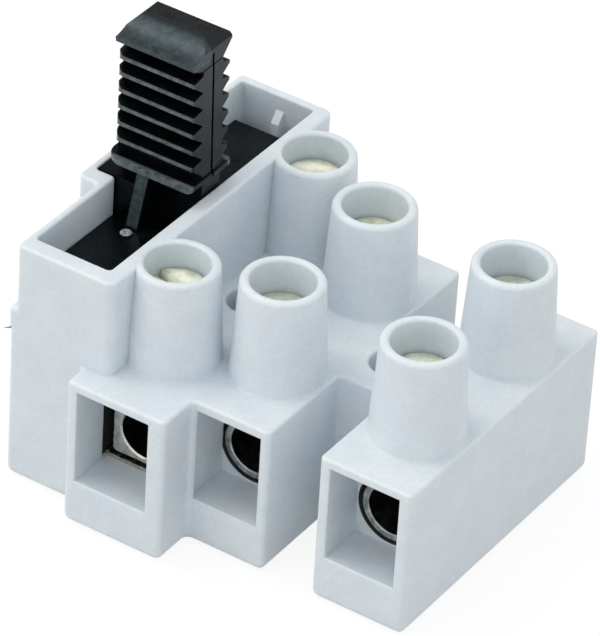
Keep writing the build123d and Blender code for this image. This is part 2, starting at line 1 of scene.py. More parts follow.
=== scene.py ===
import json
import math

import bmesh
import bpy
from bpy.props import FloatProperty, IntProperty, PointerProperty, StringProperty
from mathutils import Matrix, Vector

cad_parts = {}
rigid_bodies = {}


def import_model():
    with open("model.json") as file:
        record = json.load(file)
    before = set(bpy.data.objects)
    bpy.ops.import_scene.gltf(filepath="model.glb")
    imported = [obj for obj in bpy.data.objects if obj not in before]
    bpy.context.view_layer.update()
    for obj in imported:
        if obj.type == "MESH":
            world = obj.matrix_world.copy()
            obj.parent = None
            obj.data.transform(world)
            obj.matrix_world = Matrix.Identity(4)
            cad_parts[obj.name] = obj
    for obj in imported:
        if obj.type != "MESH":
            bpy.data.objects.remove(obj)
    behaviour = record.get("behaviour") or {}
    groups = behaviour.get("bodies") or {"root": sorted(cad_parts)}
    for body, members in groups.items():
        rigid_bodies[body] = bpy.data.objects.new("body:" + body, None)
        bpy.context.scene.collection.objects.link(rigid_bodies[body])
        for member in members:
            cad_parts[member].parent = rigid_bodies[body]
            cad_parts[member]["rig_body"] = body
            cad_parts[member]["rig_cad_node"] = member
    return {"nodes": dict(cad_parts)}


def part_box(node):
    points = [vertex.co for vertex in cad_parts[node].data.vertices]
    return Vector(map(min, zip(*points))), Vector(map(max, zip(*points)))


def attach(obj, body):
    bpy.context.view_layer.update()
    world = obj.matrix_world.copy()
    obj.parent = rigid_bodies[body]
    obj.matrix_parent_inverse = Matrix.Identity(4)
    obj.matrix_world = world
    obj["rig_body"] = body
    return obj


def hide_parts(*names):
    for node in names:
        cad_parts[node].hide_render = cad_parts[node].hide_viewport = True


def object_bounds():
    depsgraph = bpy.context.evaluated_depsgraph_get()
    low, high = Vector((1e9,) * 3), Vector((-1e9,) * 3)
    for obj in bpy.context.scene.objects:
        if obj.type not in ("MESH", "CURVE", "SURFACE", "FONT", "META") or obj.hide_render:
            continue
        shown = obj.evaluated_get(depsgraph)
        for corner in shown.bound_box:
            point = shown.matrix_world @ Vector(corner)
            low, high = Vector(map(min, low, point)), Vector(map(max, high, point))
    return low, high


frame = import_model()

bl_info = {
    "name": "Fuse terminal block",
    "version": (1, 1, 0),
    "blender": (4, 5, 0),
    "location": "View3D > Sidebar > Fuse block",
    "description": "Dresses the fuse terminal block with moulded nylon, plated metal and a studio stage",
    "category": "Object",
}

MM = 0.001
CAD_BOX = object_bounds()
NYLON_IOR = 1.53
POLES = ("a", "b", "c")
ENDS = ("front", "back")
SCREWS = tuple(f"{pole}_{end}" for pole in POLES for end in ENDS)

# Wire bores and the pockets round the clamps, in mm, as the mouldings and clamps have them; the materials
# paint shade inside them
BORE_RADIUS, BORE_MARGIN = 2.15, 0.06
BLOCK_BORE_X, BLOCK_BORE_Z = -5.8, 7.6
TUBE_BORE_X, TUBE_BORE_Z = (1.8, 14.5), 7.5
BLOCK_POCKET_LOW, BLOCK_POCKET_HIGH = (-9.6, -13.25, 4.25), (-2.0, 13.25, 11.0)
TUBE_POCKET_RADIUS, TUBE_POCKET_HALF_LENGTH = 3.13, 9.08

# Grip of the carrier, in mm: heights of its foot and cap, how far its ribs and the front of its cap reach,
# the front face of its gusset, and how soon the painted highlight on each fades
GRIP_FOOT, CAP_FOOT = 23.3, 33.9
RIB_FRONT, RIB_BACK, CAP_CREASE = -2.9, 2.15, -0.3
GUSSET_LOW, GUSSET_HIGH = (-14.16, -8.0, 19.0), (-13.14, -1.0, 23.2)
GRIP_FADE, CAP_FADE = 0.2, 0.3
FRONT_TIP, BACK_TIP, TIP_FULL = 0.32, 0.3, 0.1

# Lamps: direction from the block, size, watts, and tint
LAMP_DISTANCE = 500 * MM
LAMPS = (
    ("key_lamp", (-0.43, -0.1, 0.9), 170 * MM, 0.45, (1.06, 1.0, 0.94)),
    ("upper_left_lamp", (-0.6, -0.55, 0.6), 350 * MM, 0.27, (1.07, 0.99, 0.95)),
    ("back_left_lamp", (-0.55, 0.6, 0.62), 350 * MM, 0.08, (0.94, 1.05, 0.99)),
    ("front_lamp", (-0.1, -0.88, 0.45), 350 * MM, 0.1, (1.0, 1.0, 0.98)),
)
ROOM_STRENGTH = 0.87
ROOM_TINT = (0.99, 1.0, 1.0, 1.0)
CARD_DIRECTION = (-0.49, 0.79, 0.37)
CARD_DISTANCE = 600 * MM
CARD_SIZE = 800 * MM


# Small helpers

def hex_to_linear(text):
    """An sRGB hex colour as linear red, green, blue and alpha."""
    channels = [int(text[i:i + 2], 16) / 255 for i in (1, 3, 5)]
    linear = [c / 12.92 if c <= 0.04045 else ((c + 0.055) / 1.055) ** 2.4 for c in channels]
    return (*linear, 1.0)


def per_mm(size_mm):
    """Noise scale whose pattern repeats about every size_mm on Object coordinates in metres."""
    return 1.0 / (size_mm * MM)


def add_node(tree, kind, links=(), sockets=None, **properties):
    """Adds a shader node with its properties, its socket values and its links.
    A link is given as the socket, the node that it comes from and that node's socket."""
    node = tree.nodes.new(kind)
    for name, value in properties.items():
        setattr(node, name, value)
    for socket, value in (sockets or {}).items():
        node.inputs[socket].default_value = value
    for socket, source, output in links:
        tree.links.new(source.outputs[output], node.inputs[socket])
    return node


def new_material(name):
    """An empty node material: the material, its tree, and a node that gives Object coordinates."""
    material = bpy.data.materials.new(name)
    material.use_nodes = True
    tree = material.node_tree
    tree.nodes.clear()
    place = add_node(tree, "ShaderNodeTexCoord")
    return material, tree, place


def grain(size_mm, detail, roughness):
    """Socket values of a noise whose patches are about size_mm across."""
    return {"Scale": per_mm(size_mm), "Detail": detail, "Roughness": roughness}


def between(low, high):
    """Socket values that take the middle of a noise's range to a value from low to high."""
    return {"From Min": 0.35, "From Max": 0.65, "To Min": low, "To Max": high}


def inside_box(tree, place, low, high):
    """1 inside a box given by its corners in mm, and 0 outside it."""
    middle = [(a + b) / 2 * MM for a, b in zip(low, high)]
    half = [(b - a) / 2 * MM for a, b in zip(low, high)]
    offset = add_node(tree, "ShaderNodeVectorMath", [(0, place, "Object")], {1: middle}, operation="SUBTRACT")
    distance = add_node(tree, "ShaderNodeVectorMath", [(0, offset, 0)], operation="ABSOLUTE")
    beyond = add_node(tree, "ShaderNodeVectorMath", [(0, distance, 0)], {1: half}, operation="SUBTRACT")
    axes = add_node(tree, "ShaderNodeSeparateXYZ", [(0, beyond, 0)])
    wide = add_node(tree, "ShaderNodeMath", [(0, axes, 0), (1, axes, 1)], operation="MAXIMUM")
    worst = add_node(tree, "ShaderNodeMath", [(0, wide, 0), (1, axes, 2)], operation="MAXIMUM")
    return add_node(tree, "ShaderNodeMath", [(0, worst, 0)], {1: 0.0}, operation="LESS_THAN")


def inside_rod(tree, place, x, z, radius, half_length):
    """1 inside a round rod along Y through x and z, given in mm, and 0 outside it."""
    offset = add_node(tree, "ShaderNodeVectorMath", [(0, place, "Object")], {1: (x * MM, 0.0, z * MM)},
                      operation="SUBTRACT")
    across = add_node(tree, "ShaderNodeVectorMath", [(0, offset, 0)], {1: (1.0, 0.0, 1.0)},
                      operation="MULTIPLY")
    distance = add_node(tree, "ShaderNodeVectorMath", [(0, across, 0)], operation="LENGTH")
    near = add_node(tree, "ShaderNodeMath", [(0, distance, "Value")], {1: radius * MM}, operation="LESS_THAN")
    axes = add_node(tree, "ShaderNodeSeparateXYZ", [(0, offset, 0)])
    along = add_node(tree, "ShaderNodeMath", [(0, axes, 1)], operation="ABSOLUTE")
    short = add_node(tree, "ShaderNodeMath", [(0, along, 0)], {1: half_length * MM}, operation="LESS_THAN")
    return add_node(tree, "ShaderNodeMath", [(0, near, 0), (1, short, 0)], operation="MULTIPLY")


def any_of(tree, masks):
    """1 where any of the masks is 1."""
    total = masks[0]
    for mask in masks[1:]:
        total = add_node(tree, "ShaderNodeMath", [(0, total, 0), (1, mask, 0)], operation="MAXIMUM")
    return total


def over(tree, place, axis, start, full):
    """0 at start and 1 from full on, both in mm along one axis; full may be the lower of the two."""
    axes = add_node(tree, "ShaderNodeSeparateXYZ", [(0, place, "Object")])
    return add_node(tree, "ShaderNodeMapRange", [("Value", axes, axis)],
                    {"From Min": start * MM, "From Max": full * MM, "To Min": 0.0, "To Max": 1.0})


def product(tree, *factors):
    """All the factors multiplied."""
    total = factors[0]
    for factor in factors[1:]:
        total = add_node(tree, "ShaderNodeMath", [(0, total, 0), (1, factor, 0)], operation="MULTIPLY")
    return total


def darkened(tree, colour, output, mask, share):
    """A colour taken down to a share of itself where the mask is 1."""
    factor = add_node(tree, "ShaderNodeMath", [(0, mask, 0)], {1: share - 1.0, 2: 1.0},
                      operation="MULTIPLY_ADD")
    return add_node(tree, "ShaderNodeVectorMath", [(0, colour, output), ("Scale", factor, 0)],
                    operation="SCALE")


def two_tone(ramp, first, second, low=0.35, high=0.65):
    """Gives a colour ramp its two tones and where they begin."""
    for element, position, colour in zip(ramp.color_ramp.elements, (low, high), (first, second)):
        element.position = position
        element.color = hex_to_linear(colour)


def wear(material, *node_names):
    """Puts one material on CAD nodes."""
    for name in node_names:
        node = frame["nodes"][name]
        node.data.materials.clear()
        node.data.materials.append(material)


def deselect_all():
    """Nothing selected and no edit mode, as each new piece wants it."""
    if bpy.context.object and bpy.context.object.mode != "OBJECT":
        bpy.ops.object.mode_set(mode="OBJECT")
    bpy.ops.object.select_all(action="DESELECT")


def make_active(piece):
    """Selects one piece alone."""
    deselect_all()
    piece.select_set(True)
    bpy.context.view_layer.objects.active = piece


def select_long_edges(piece, height):
    """In edit mode, selects only the edges that rise by more than a height."""
    bpy.ops.mesh.select_all(action="DESELECT")
    for edge in bmesh.from_edit_mesh(piece.data).edges:
        first, second = edge.verts
        edge.select_set(abs(first.co.z - second.co.z) > height)
    bmesh.update_edit_mesh(piece.data)


def seat(piece, name, material, body):
    """Names a finished piece, puts its place in its mesh, dresses it, and lets it ride."""
    make_active(piece)
    bpy.ops.object.transform_apply(location=True, rotation=True, scale=True)
    piece.name = name
    piece.data.name = name
    piece.data.materials.clear()
    piece.data.materials.append(material)
    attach(piece, body)


# Materials

def moulded_light_nylon(cool, warm):
    """Polyamide 6.6, injection moulded, light grey: a matt spark-eroded skin with faint flow patches.
    Light goes a little way in, which softens its edges. The narrow pockets round the clamps are painted dark,
    as painted shade, because hardly any light comes out of them."""
    material, tree, place = new_material("moulded_light_nylon")
    patches = add_node(tree, "ShaderNodeTexNoise", [("Vector", place, "Object")], grain(5.0, 2.0, 0.5))
    tone = add_node(tree, "ShaderNodeValToRGB", [("Fac", patches, "Fac")])
    two_tone(tone, cool, warm)
    # The grit of the mould skin, about 0.35 mm, is seen as a fine change of tone
    grit = add_node(tree, "ShaderNodeTexNoise", [("Vector", place, "Object")], grain(0.35, 3.0, 0.65))
    speckle = add_node(tree, "ShaderNodeMapRange", [("Value", grit, "Fac")], between(0.965, 1.02))
    flow = add_node(tree, "ShaderNodeTexNoise", [("Vector", place, "Object")], grain(2.2, 2.0, 0.5))
    cloud = add_node(tree, "ShaderNodeMapRange", [("Value", flow, "Fac")], between(0.975, 1.015))
    speckled = add_node(tree, "ShaderNodeVectorMath", [(0, tone, "Color"), ("Scale", speckle, 0)],
                        operation="SCALE")
    clouded = add_node(tree, "ShaderNodeVectorMath", [(0, speckled, 0), ("Scale", cloud, 0)],
                       operation="SCALE")
    block_pocket = inside_box(tree, place, BLOCK_POCKET_LOW, BLOCK_POCKET_HIGH)
    tube_pockets = any_of(tree, [inside_rod(tree, place, x, TUBE_BORE_Z, TUBE_POCKET_RADIUS,
                                            TUBE_POCKET_HALF_LENGTH) for x in TUBE_BORE_X])
    # Painted shade: the block's pocket is painted near black and the tubes' pockets dark
    colour = darkened(tree, clouded, 0, block_pocket, 0.01)
    colour = darkened(tree, colour, 0, tube_pockets, 0.06)
    bump = add_node(tree, "ShaderNodeBump", [("Height", grit, "Fac")],
                    {"Strength": 0.16, "Distance": 0.03 * MM})
    skin = add_node(tree, "ShaderNodeMapRange", [("Value", patches, "Fac")], between(0.42, 0.52))
    pockets = any_of(tree, [block_pocket, tube_pockets])
    rough = add_node(tree, "ShaderNodeMath", [(0, skin, 0), (1, pockets, 0)], operation="MAXIMUM")
    shader = add_node(tree, "ShaderNodeBsdfPrincipled",
                      [("Base Color", colour, 0), ("Normal", bump, "Normal"), ("Roughness", rough, 0)],
                      {"IOR": NYLON_IOR, "Subsurface Weight": 0.3, "Subsurface Radius": (0.95, 1.0, 0.95),
                       "Subsurface Scale": 1.0 * MM})
    add_node(tree, "ShaderNodeOutputMaterial", [("Surface", shader, 0)])
    return material


def moulded_black_nylon(deep, rubbed, painted_highlight, tip):
    """Polyamide 6.6 coloured black, injection moulded: a satin skin with a cool grey-green light on it,
    with painted highlights on the grip: grey on the cap front and gusset, pale on the rib tips."""
    material, tree, place = new_material("moulded_black_nylon")
    patches = add_node(tree, "ShaderNodeTexNoise", [("Vector", place, "Object")], grain(1.3, 4.0, 0.6))
    tone = add_node(tree, "ShaderNodeValToRGB", [("Fac", patches, "Fac")])
    two_tone(tone, deep, rubbed, 0.3, 0.75)
    grit = add_node(tree, "ShaderNodeTexNoise", [("Vector", place, "Object")], grain(0.22, 2.0, 0.6))
    speckle = add_node(tree, "ShaderNodeMapRange", [("Value", grit, "Fac")], between(0.6, 1.5))
    speckled = add_node(tree, "ShaderNodeVectorMath", [(0, tone, "Color"), ("Scale", speckle, 0)],
                        operation="SCALE")

    # Painted highlights: the front of the cap and of the gusset are painted grey and the rib tips pale, for
    # the light that their edges catch. They are coloured in, so they stay under any light
    highlight_breakup_noise = add_node(tree, "ShaderNodeTexNoise", [("Vector", place, "Object")], grain(0.5, 4.0, 0.65))
    highlight_breakup = add_node(tree, "ShaderNodeMapRange", [("Value", highlight_breakup_noise, "Fac")], between(0.35, 1.0))
    on_grip = over(tree, place, "Z", GRIP_FOOT - GRIP_FADE, GRIP_FOOT)
    on_cap = over(tree, place, "Z", CAP_FOOT, CAP_FOOT + GRIP_FADE)
    below_cap = over(tree, place, "Z", CAP_FOOT, CAP_FOOT - GRIP_FADE)
    at_front_tips = over(tree, place, "Y", RIB_FRONT + FRONT_TIP, RIB_FRONT + TIP_FULL)
    at_back_tips = over(tree, place, "Y", RIB_BACK - BACK_TIP, RIB_BACK - TIP_FULL)
    before_crease = over(tree, place, "Y", CAP_CREASE, CAP_CREASE - CAP_FADE)
    gusset = inside_box(tree, place, GUSSET_LOW, GUSSET_HIGH)
    cap_front = product(tree, on_cap, before_crease)
    tips = any_of(tree, [at_front_tips, at_back_tips])
    painted_cap_gusset_highlight = product(tree, any_of(tree, [cap_front, gusset]), highlight_breakup)
    painted_tip_highlight = product(tree, tips, on_grip, below_cap, highlight_breakup)
    # Painted highlights mixed in: grey on the cap front and gusset, then pale on the rib tips
    greyed = add_node(tree, "ShaderNodeMix", [(0, painted_cap_gusset_highlight, 0), (6, speckled, 0)],
                      {7: hex_to_linear(painted_highlight)}, data_type="RGBA")
    colour = add_node(tree, "ShaderNodeMix", [(0, painted_tip_highlight, 0), (6, greyed, 2)],
                      {7: hex_to_linear(tip)}, data_type="RGBA")

    bump = add_node(tree, "ShaderNodeBump", [("Height", grit, "Fac")],
                    {"Strength": 0.3, "Distance": 0.025 * MM})
    rough = add_node(tree, "ShaderNodeMapRange", [("Value", patches, "Fac")], between(0.24, 0.34))
    shader = add_node(tree, "ShaderNodeBsdfPrincipled",
                      [("Base Color", colour, 2), ("Normal", bump, "Normal"), ("Roughness", rough, 0)],
                      {"IOR": NYLON_IOR, "Specular IOR Level": 0.25,
                       "Specular Tint": hex_to_linear("#DCF4FF")})
    add_node(tree, "ShaderNodeOutputMaterial", [("Surface", shader, 0)])
    return material


def plated_metal(name, bright, dull, rough_low, rough_high, bores=()):
    """Plating over brass, bronze or steel: metallic, in two close tones, with a faint uneven polish.
    The wire bores, given as x, z and half length in mm, are darkened inside: partly painted shade, partly
    dull bare metal."""
    material, tree, place = new_material(name)
    patches = add_node(tree, "ShaderNodeTexNoise", [("Vector", place, "Object")], grain(0.7, 4.0, 0.6))
    colour = add_node(tree, "ShaderNodeValToRGB", [("Fac", patches, "Fac")])
    two_tone(colour, dull, bright)
    if bores:
        # Painted shade and dull bare metal: the bores are taken down to a quarter of their tone
        masks = [inside_rod(tree, place, x, z, BORE_RADIUS + BORE_MARGIN, half) for x, z, half in bores]
        colour = darkened(tree, colour, "Color", any_of(tree, masks), 0.25)
    # Tool marks and barrel polish, drawn at 0.15 mm, coarser than they are, so that they show
    marks = add_node(tree, "ShaderNodeTexNoise", [("Vector", place, "Object")], grain(0.15, 2.0, 0.6))
    bump = add_node(tree, "ShaderNodeBump", [("Height", marks, "Fac")],
                    {"Strength": 0.15, "Distance": 0.02 * MM})
    rough = add_node(tree, "ShaderNodeMapRange", [("Value", patches, "Fac")], between(rough_low, rough_high))
    shader = add_node(tree, "ShaderNodeBsdfPrincipled",
                      [("Base Color", colour, 0), ("Normal", bump, "Normal"), ("Roughness", rough, 0)],
                      {"Metallic": 1.0})
    add_node(tree, "ShaderNodeOutputMaterial", [("Surface", shader, 0)])
    return material


def clear_glass():
    """Soda-lime glass tube, drawn: clear, with a faint green in its edges and a slight waviness."""
    material, tree, place = new_material("drawn_clear_glass")
    wave = add_node(tree, "ShaderNodeTexNoise", [("Vector", place, "Object")], grain(3.0, 1.0, 0.5))
    tone = add_node(tree, "ShaderNodeValToRGB", [("Fac", wave, "Fac")])
    two_tone(tone, "#EAF4F0", "#F4FAF8")
    bump = add_node(tree, "ShaderNodeBump", [("Height", wave, "Fac")],
                    {"Strength": 0.05, "Distance": 0.02 * MM})
    shader = add_node(tree, "ShaderNodeBsdfPrincipled", [("Base Color", tone, 0), ("Normal", bump, "Normal")],
                      {"Roughness": 0.03, "IOR": 1.52, "Transmission Weight": 1.0})
    add_node(tree, "ShaderNodeOutputMaterial", [("Surface", shader, 0)])
    return material


def gate_nylon_painted_glint():
    """Black nylon torn off at the gate: the tear is smooth and painted pale, a painted glint."""
    material, tree, place = new_material("gate_nylon_painted_glint")
    patches = add_node(tree, "ShaderNodeTexNoise", [("Vector", place, "Object")], grain(0.3, 2.0, 0.5))
    tone = add_node(tree, "ShaderNodeValToRGB", [("Fac", patches, "Fac")])
    # Painted glint: the nub is painted pale grey
    two_tone(tone, "#7C8485", "#B4BABB")
    rough = add_node(tree, "ShaderNodeMapRange", [("Value", patches, "Fac")], between(0.2, 0.3))
    shader = add_node(tree, "ShaderNodeBsdfPrincipled", [("Base Color", tone, 0), ("Roughness", rough, 0)],
                      {"IOR": NYLON_IOR})
    add_node(tree, "ShaderNodeOutputMaterial", [("Surface", shader, 0)])
    return material


def soiled_nylon():
    """A thin hair of nylon flash, greyed by handling."""
    material, tree, place = new_material("soiled_nylon_flash")
    patches = add_node(tree, "ShaderNodeTexNoise", [("Vector", place, "Object")], grain(0.2, 2.0, 0.5))
    tone = add_node(tree, "ShaderNodeValToRGB", [("Fac", patches, "Fac")])
    two_tone(tone, "#5E666B", "#8D959A")
    shader = add_node(tree, "ShaderNodeBsdfPrincipled", [("Base Color", tone, 0)],
                      {"IOR": NYLON_IOR, "Roughness": 0.6})
    add_node(tree, "ShaderNodeOutputMaterial", [("Surface", shader, 0)])
    return material


# Settings that a user would change

class FuseBlockNylonSettings(bpy.types.PropertyGroup):
    housing_cool: StringProperty(name="Housing, cool", default="#D8E1E9",
                                 description="sRGB hex of the light nylon's cooler patches")
    housing_warm: StringProperty(name="Housing, warm", default="#DDE4E8",
                                 description="sRGB hex of the light nylon's warmer patches")
    carrier_deep: StringProperty(name="Carrier, deep", default="#030405",
                                 description="sRGB hex of the black nylon")
    carrier_rubbed: StringProperty(name="Carrier, rubbed", default="#0A0E0F",
                                   description="sRGB hex of the black nylon's paler patches")
    # The next two carrier tones are painted highlights: grey on the cap front and gusset, pale on the rib
    # tips
    carrier_painted_highlight: StringProperty(name="Carrier, worn", default="#3E484B",
                                 description="sRGB hex of the greyed cap and gusset")
    carrier_painted_tip_highlight: StringProperty(name="Carrier, tips", default="#6E787C",
                                description="sRGB hex of the whitened rib tips")


class FuseBlockScrewSettings(bpy.types.PropertyGroup):
    head_height: FloatProperty(name="Head", default=2.2 * MM, unit="LENGTH",
                               description="Height of the slotted head")
    shank_radius: FloatProperty(name="Shank", default=1.7 * MM, unit="LENGTH",
                                description="Radius over the thread")
    pitch: FloatProperty(name="Pitch", default=0.6 * MM, unit="LENGTH",
                         description="Rise of the thread in one turn")
    thread_depth: FloatProperty(name="Depth", default=0.34 * MM, unit="LENGTH",
                                description="Depth of the thread")
    steps_around: IntProperty(name="Steps", default=40, description="Corners of the shank all round")


class FuseBlockStageSettings(bpy.types.PropertyGroup):
    view_azimuth: FloatProperty(name="Azimuth", description="Camera direction round the block",
                                default=math.radians(31.73), subtype="ANGLE")
    view_elevation: FloatProperty(name="Elevation", description="Camera height above the horizon",
                                  default=math.radians(35.69), subtype="ANGLE")
    view_roll: FloatProperty(name="Roll", description="Tilt of the camera about its own axis",
                             default=math.radians(3.64), subtype="ANGLE")
    view_distance: FloatProperty(name="Distance", description="From the camera to the block's middle",
                                 default=432.5 * MM, unit="LENGTH")


# Pieces

class FUSEBLOCK_OT_housing(bpy.types.Operator):
    """Light moulded nylon on the housing and its base cover"""
    bl_idname = "fuseblock.housing"
    bl_label = "Housing"

    def execute(self, context):
        nylon = context.scene.fuse_block_nylon
        wear(moulded_light_nylon(nylon.housing_cool, nylon.housing_warm), "housing", "base_cover")
        return {"FINISHED"}


class FUSEBLOCK_OT_carrier(bpy.types.Operator):
    """Black moulded nylon on the fuse carrier, with the nub of its moulding gate painted pale as a glint"""
    bl_idname = "fuseblock.carrier"
    bl_label = "Fuse carrier"

    NUB_PLACE = Vector((-13.65, -4.95, 18.85)) * MM
    NUB_RADIUS = 0.48 * MM
    NUB_EDGE = 0.02 * MM
    NUB_CORNERS = 32
    NUB_STEPS = ((0.07, 0.025), (0.1, 0.018), (0.12, 0.008))

    def execute(self, context):
        nylon = context.scene.fuse_block_nylon
        black = moulded_black_nylon(nylon.carrier_deep, nylon.carrier_rubbed, nylon.carrier_painted_highlight,
                                    nylon.carrier_painted_tip_highlight)
        wear(black, "fuse_carrier")
        deselect_all()
        bpy.ops.mesh.primitive_cylinder_add(vertices=self.NUB_CORNERS, radius=self.NUB_RADIUS,
                                            depth=2 * self.NUB_EDGE, end_fill_type="NGON",
                                            location=self.NUB_PLACE)
        nub = context.active_object
        bpy.ops.object.transform_apply(location=True, rotation=True, scale=True)
        bpy.ops.object.mode_set(mode="EDIT")
        bpy.ops.mesh.select_all(action="DESELECT")
        mesh = bmesh.from_edit_mesh(nub.data)
        for face in mesh.faces:
            face.select_set(face.normal.z > 0.9)
        bmesh.update_edit_mesh(nub.data)
        for inwards, upwards in self.NUB_STEPS:
            bpy.ops.mesh.inset(thickness=inwards * MM, depth=upwards * MM)
        bpy.ops.object.mode_set(mode="OBJECT")
        bpy.ops.object.shade_smooth_by_angle(angle=math.radians(40))
        # The nub wears the painted glint
        seat(nub, "gate_nub", gate_nylon_painted_glint(), "carrier")
        return {"FINISHED"}


class FUSEBLOCK_OT_flash(bpy.types.Operator):
    """The hair of flash that hangs from the parting line at the fuse box's left front corner"""
    bl_idname = "fuseblock.flash"
    bl_label = "Flash hair"

    ROOT = Vector((-17.2, -14.95, 14.0)) * MM
    TIP = Vector((-17.8, -15.05, 13.72)) * MM
    SAG = Vector((0.0, 0.0, -0.04)) * MM
    ROOT_RADIUS = 0.08 * MM
    TAPER, CURL = 0.75, 1.4
    CORNERS, SECTIONS = 10, 8

    def execute(self, context):
        reach = self.TIP - self.ROOT
        deselect_all()
        bpy.ops.mesh.primitive_cylinder_add(vertices=self.CORNERS, radius=self.ROOT_RADIUS,
                                            depth=reach.length, end_fill_type="TRIFAN")
        hair = context.active_object
        bpy.ops.object.mode_set(mode="EDIT")
        select_long_edges(hair, reach.length / 2)
        bpy.ops.mesh.subdivide(number_cuts=self.SECTIONS)
        mesh = bmesh.from_edit_mesh(hair.data)
        turn = reach.to_track_quat("Z", "Y")
        for corner in mesh.verts:
            along = corner.co.z / reach.length + 0.5
            across = turn @ Vector((corner.co.x, corner.co.y, 0)) * (1 - self.TAPER * along)
            curl = self.SAG * math.sin(math.pi * along * self.CURL)
            corner.co = self.ROOT + reach * along + across + curl
        bmesh.update_edit_mesh(hair.data)
        bpy.ops.object.mode_set(mode="OBJECT")
        bpy.ops.object.shade_smooth_by_angle(angle=math.radians(50))
        seat(hair, "flash_hair", soiled_nylon(), "base")
        return {"FINISHED"}


class FUSEBLOCK_OT_clamps(bpy.types.Operator):
    """Nickel plated brass on the clamp blocks and tubes"""
    bl_idname = "fuseblock.clamps"
    bl_label = "Clamps"

    BLOCK_END, TUBE_END = 12.8, 9.0

    def execute(self, context):
        block_bore = [(BLOCK_BORE_X, BLOCK_BORE_Z, self.BLOCK_END)]
        tube_bores = [(x, TUBE_BORE_Z, self.TUBE_END) for x in TUBE_BORE_X]
        bright = plated_metal("nickel_plated_block", "#E2E0D8", "#BDBCB4", 0.24, 0.38, block_bore)
        greyer = plated_metal("nickel_plated_tube", "#CDCECB", "#8F918F", 0.3, 0.46, tube_bores)
        wear(bright, "clamp_block_a_front", "clamp_block_a_back")
        wear(greyer, "clamp_tube_b", "clamp_tube_c")
        return {"FINISHED"}


class FUSEBLOCK_OT_clips(bpy.types.Operator):
    """Tinned bronze strip on the fuse clips and their tails"""
    bl_idname = "fuseblock.clips"
    bl_label = "Fuse clips"

    def execute(self, context):
        tinned = plated_metal("tinned_bronze_strip", "#DAD6C8", "#B9B5A6", 0.22, 0.36)
        wear(tinned, "fuse_clip_front", "fuse_clip_back")
        return {"FINISHED"}


class FUSEBLOCK_OT_fuse(bpy.types.Operator):
    """Glass tube, nickel plated caps and tinned wire on the fuse"""
    bl_idname = "fuseblock.fuse"
    bl_label = "Fuse"

    def execute(self, context):
        wear(clear_glass(), "fuse_glass")
        plated = plated_metal("nickel_plated_cap", "#D6D4CA", "#C2C0B6", 0.12, 0.22)
        wear(plated, "fuse_cap_front", "fuse_cap_back")
        wear(plated_metal("tinned_wire", "#CFCBBE", "#B4B0A2", 0.25, 0.35), "fuse_wire")
        return {"FINISHED"}


